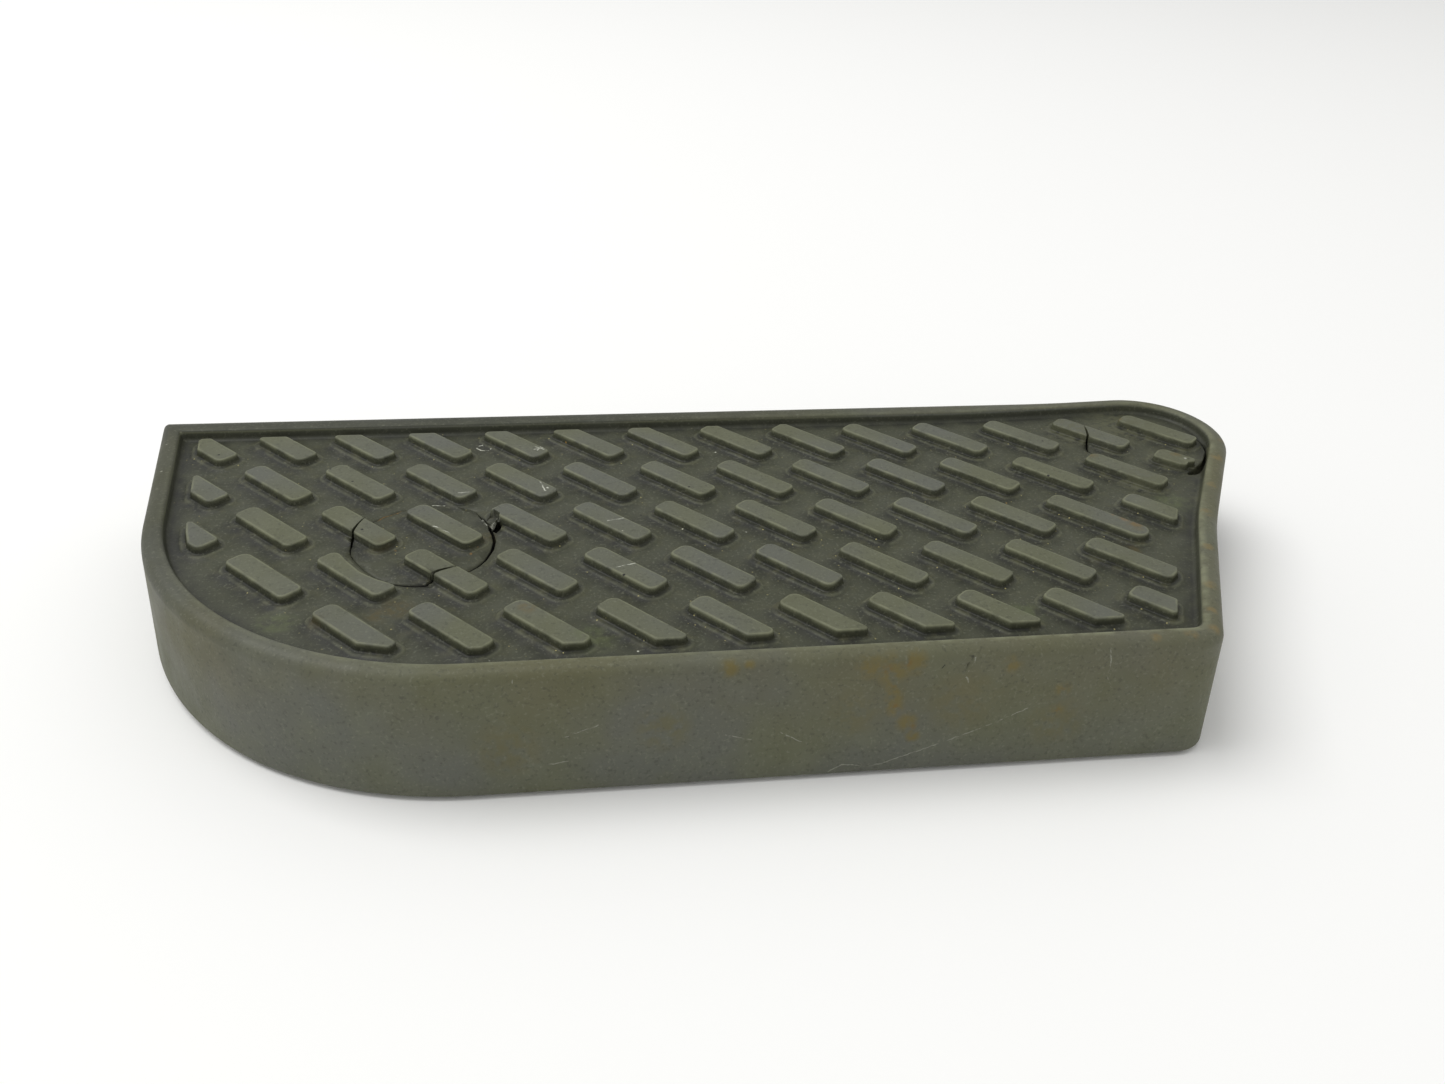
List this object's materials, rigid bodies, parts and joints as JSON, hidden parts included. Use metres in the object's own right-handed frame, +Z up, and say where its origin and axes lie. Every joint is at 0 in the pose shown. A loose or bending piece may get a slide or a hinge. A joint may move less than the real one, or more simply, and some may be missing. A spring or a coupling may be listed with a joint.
{
  "type": "sewing machine foot pedal",
  "caption": "Wide platform foot pedal with a ribbed tread shell that rocks on a front rod over a tray holding a sprung speed control.",
  "frame": {"origin": "middle of the footprint, on the floor that the rubber feet stand on", "axes": "+X along the long front edge towards the round ear's end, +Y from the operator's front edge to the back, +Z up"},
  "size_m": [0.2955, 0.1236, 0.0315],
  "materials": {
    "shell_plastic": "moulded, fine matt grain, worn",
    "tray_plastic": "moulded, matt black",
    "rubber": "matt black",
    "steel": "zinc plated",
    "spring_steel": "oiled wire",
    "nylon": "natural nylon",
    "felt": "pressed felt",
    "pot_case": "moulded",
    "board_laminate": "solder mask",
    "black_epoxy": "moulded epoxy",
    "aluminium": "extruded",
    "film_case": "potted box",
    "choke_winding": "enamelled copper on ferrite",
    "terminal_plastic": "moulded"
  },
  "bodies": {
    "base": {"base_pan": "tray_plastic", "rubber_feet": "rubber", "foot_screws": "steel", "hinge_rod": "steel", "rod_clips": "steel", "left_spring": "spring_steel", "right_spring": "spring_steel", "spring_cups": "steel", "down_stops": "rubber", "stop_brackets": "steel", "stop_pads": "felt", "bracket_screws": "steel", "rack_guide": "tray_plastic", "guide_screws": "steel", "rack_spring": "spring_steel", "potentiometer": "pot_case", "circuit_board": "board_laminate", "board_screws": "steel", "triac": "black_epoxy", "heat_sink": "aluminium", "triac_screw": "steel", "suppressor_capacitor": "film_case", "choke": "choke_winding", "terminal_block": "terminal_plastic", "terminal_screws": "steel", "cord_gland": "rubber", "cord_clamp": "nylon", "clamp_screws": "steel"},
    "treadle": {"treadle_shell": "shell_plastic", "hinge_bushes": "nylon"},
    "rack": {"speed_rack": "nylon"},
    "pinion": {"pinion_gear": "nylon", "pot_shaft": "steel"}
  },
  "joints": [
    {"name": "treadle_hinge", "type": "hinge", "parent": "base", "child": "treadle", "pos_m": [0.01437, -0.04647, 0.0105], "axis": [-1, 0, 0], "range_deg": [0, 3], "stiffness_Nm_per_rad": 6, "springref_deg": -8.59, "deforming": ["left_spring", "right_spring"]},
    {"name": "rack_slide", "type": "slide", "parent": "base", "child": "rack", "axis": [0, 0, -1], "range_m": [0, 0.00305], "deforming": ["rack_spring"]},
    {"name": "pinion_spin", "type": "hinge", "parent": "base", "child": "pinion", "pos_m": [-0.00389, 0.01153, 0.0141], "axis": [0, -1, 0], "range_deg": [0, 36.5]}
  ],
  "couplings": [
    {"joint": "rack_slide", "follows": "treadle_hinge", "m_per_rad": 0.058},
    {"joint": "pinion_spin", "follows": "treadle_hinge", "ratio": 12.083}
  ]
}
